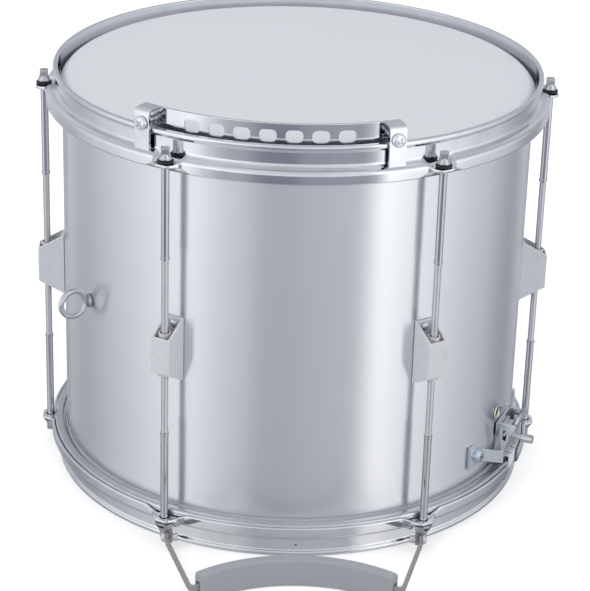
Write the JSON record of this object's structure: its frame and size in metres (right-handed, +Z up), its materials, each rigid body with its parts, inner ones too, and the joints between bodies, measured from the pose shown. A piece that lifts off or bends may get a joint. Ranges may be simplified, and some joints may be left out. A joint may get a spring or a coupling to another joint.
{
  "type": "marching snare drum",
  "caption": "Marching snare drum with a brushed aluminium shell, chrome hoops, a slotted sling rail, a snare throw-off and a folding leg rest.",
  "frame": {"origin": "on the floor that the lower rim and the pad stand on, under the middle of the box", "axes": "+Z up along the drum axis, -Y towards the leg rest, +X towards the snare throw-off"},
  "size_m": [0.3966, 0.4392, 0.3332],
  "materials": {
    "shell_aluminium": "satin, brushed round the drum",
    "batter_film": "coated, fine grained",
    "snare_film": "thin, smooth",
    "flesh_hoop_aluminium": "satin",
    "hoop_chrome": "polished",
    "lug_grey": "satin light grey",
    "lug_nut": "dull, plated",
    "rod_zinc": "bright zinc plate",
    "washer_black": "black, satin",
    "rail_chrome": "polished",
    "rail_screw": "nickel plate",
    "eye_chrome": "polished",
    "vent_brass": "dull",
    "strainer_zinc": "bluish zinc plate",
    "lever_chrome": "polished",
    "carriage_steel": "satin",
    "thumb_screw_zinc": "knurled, zinc plate",
    "snare_strand": "white strap with bright strands",
    "leg_bar_grey": "grey, satin",
    "leg_pad": "soft grey foam skin",
    "leg_bracket": "satin"
  },
  "bodies": {
    "drum": {"shell": "shell_aluminium", "batter_head": "batter_film", "batter_flesh_hoop": "flesh_hoop_aluminium", "batter_hoop": "hoop_chrome", "snare_head": "snare_film", "snare_flesh_hoop": "flesh_hoop_aluminium", "snare_hoop": "hoop_chrome", "lug_front_left": "lug_grey", "lug_nut_front_left": "lug_nut", "lug_front_right": "lug_grey", "lug_nut_front_right": "lug_nut", "lug_right": "lug_grey", "lug_nut_right": "lug_nut", "lug_rear_right": "lug_grey", "lug_nut_rear_right": "lug_nut", "lug_rear_left": "lug_grey", "lug_nut_rear_left": "lug_nut", "lug_left": "lug_grey", "lug_nut_left": "lug_nut", "batter_washer_front_left": "washer_black", "batter_washer_front_right": "washer_black", "batter_washer_right": "washer_black", "batter_washer_rear_right": "washer_black", "batter_washer_rear_left": "washer_black", "batter_washer_left": "washer_black", "snare_washer_front_left": "washer_black", "snare_washer_front_right": "washer_black", "snare_washer_right": "washer_black", "snare_washer_rear_right": "washer_black", "snare_washer_rear_left": "washer_black", "snare_washer_left": "washer_black", "sling_rail": "rail_chrome", "rail_screw_left": "rail_screw", "rail_screw_right": "rail_screw", "rail_nut_left": "rail_screw", "rail_nut_right": "rail_screw", "eye_bolt": "eye_chrome", "vent_eyelet": "vent_brass", "strainer_base": "strainer_zinc", "snare_butt": "strainer_zinc", "leg_rest_bracket_left": "leg_bracket", "leg_rest_bracket_right": "leg_bracket"},
    "batter_rod_front_left": {"batter_rod_front_left": "rod_zinc"},
    "batter_rod_front_right": {"batter_rod_front_right": "rod_zinc"},
    "batter_rod_right": {"batter_rod_right": "rod_zinc"},
    "batter_rod_rear_right": {"batter_rod_rear_right": "rod_zinc"},
    "batter_rod_rear_left": {"batter_rod_rear_left": "rod_zinc"},
    "batter_rod_left": {"batter_rod_left": "rod_zinc"},
    "snare_rod_front_left": {"snare_rod_front_left": "rod_zinc"},
    "snare_rod_front_right": {"snare_rod_front_right": "rod_zinc"},
    "snare_rod_right": {"snare_rod_right": "rod_zinc"},
    "snare_rod_rear_right": {"snare_rod_rear_right": "rod_zinc"},
    "snare_rod_rear_left": {"snare_rod_rear_left": "rod_zinc"},
    "snare_rod_left": {"snare_rod_left": "rod_zinc"},
    "lever": {"strainer_lever": "lever_chrome"},
    "thumb_screw": {"strainer_thumb_screw": "thumb_screw_zinc"},
    "snare_set": {"snares": "snare_strand", "strainer_carriage": "carriage_steel"},
    "leg_rest": {"leg_rest_bar": "leg_bar_grey", "leg_rest_pad": "leg_pad"}
  },
  "joints": [
    {"name": "batter_rod_front_left_turn", "type": "hinge", "parent": "drum", "child": "batter_rod_front_left", "pos_m": [-0.0958, -0.13647, 0.3], "axis": [0, 0, 1], "range_deg": [-360, 360]},
    {"name": "batter_rod_front_right_turn", "type": "hinge", "parent": "drum", "child": "batter_rod_front_right", "pos_m": [0.0958, -0.13647, 0.3], "axis": [0, 0, 1], "range_deg": [-360, 360]},
    {"name": "batter_rod_right_turn", "type": "hinge", "parent": "drum", "child": "batter_rod_right", "pos_m": [0.1916, 0.02946, 0.3], "axis": [0, 0, 1], "range_deg": [-360, 360]},
    {"name": "batter_rod_rear_right_turn", "type": "hinge", "parent": "drum", "child": "batter_rod_rear_right", "pos_m": [0.0958, 0.19539, 0.3], "axis": [0, 0, 1], "range_deg": [-360, 360]},
    {"name": "batter_rod_rear_left_turn", "type": "hinge", "parent": "drum", "child": "batter_rod_rear_left", "pos_m": [-0.0958, 0.19539, 0.3], "axis": [0, 0, 1], "range_deg": [-360, 360]},
    {"name": "batter_rod_left_turn", "type": "hinge", "parent": "drum", "child": "batter_rod_left", "pos_m": [-0.1916, 0.02946, 0.3], "axis": [0, 0, 1], "range_deg": [-360, 360]},
    {"name": "snare_rod_front_left_turn", "type": "hinge", "parent": "drum", "child": "snare_rod_front_left", "pos_m": [-0.0958, -0.13647, 0.02], "axis": [0, 0, 1], "range_deg": [-360, 360]},
    {"name": "snare_rod_front_right_turn", "type": "hinge", "parent": "drum", "child": "snare_rod_front_right", "pos_m": [0.0958, -0.13647, 0.02], "axis": [0, 0, 1], "range_deg": [-360, 360]},
    {"name": "snare_rod_right_turn", "type": "hinge", "parent": "drum", "child": "snare_rod_right", "pos_m": [0.1916, 0.02946, 0.02], "axis": [0, 0, 1], "range_deg": [-360, 360]},
    {"name": "snare_rod_rear_right_turn", "type": "hinge", "parent": "drum", "child": "snare_rod_rear_right", "pos_m": [0.0958, 0.19539, 0.02], "axis": [0, 0, 1], "range_deg": [-360, 360]},
    {"name": "snare_rod_rear_left_turn", "type": "hinge", "parent": "drum", "child": "snare_rod_rear_left", "pos_m": [-0.0958, 0.19539, 0.02], "axis": [0, 0, 1], "range_deg": [-360, 360]},
    {"name": "snare_rod_left_turn", "type": "hinge", "parent": "drum", "child": "snare_rod_left", "pos_m": [-0.1916, 0.02946, 0.02], "axis": [0, 0, 1], "range_deg": [-360, 360]},
    {"name": "strainer_throw", "type": "hinge", "parent": "drum", "child": "lever", "pos_m": [0.16718, -0.04497, 0.0315], "axis": [0.4067, 0.9135, 0], "range_deg": [0, 75]},
    {"name": "snare_drop", "type": "hinge", "parent": "drum", "child": "snare_set", "pos_m": [-0.16581, 0.10328, 0.042], "axis": [0.4067, 0.9135, 0], "range_deg": [0, 0.4]},
    {"name": "thumb_screw_turn", "type": "hinge", "parent": "lever", "child": "thumb_screw", "pos_m": [0.17357, -0.04782, 0.046], "axis": [0.9135, -0.4067, 0], "range_deg": [-360, 360]},
    {"name": "leg_rest_fold", "type": "hinge", "parent": "drum", "child": "leg_rest", "pos_m": [0, -0.14654, 0.01075], "axis": [-1, 0, 0], "range_deg": [-90, 45]}
  ],
  "couplings": [
    {"joint": "snare_drop", "follows": "strainer_throw", "ratio": 0.005}
  ]
}
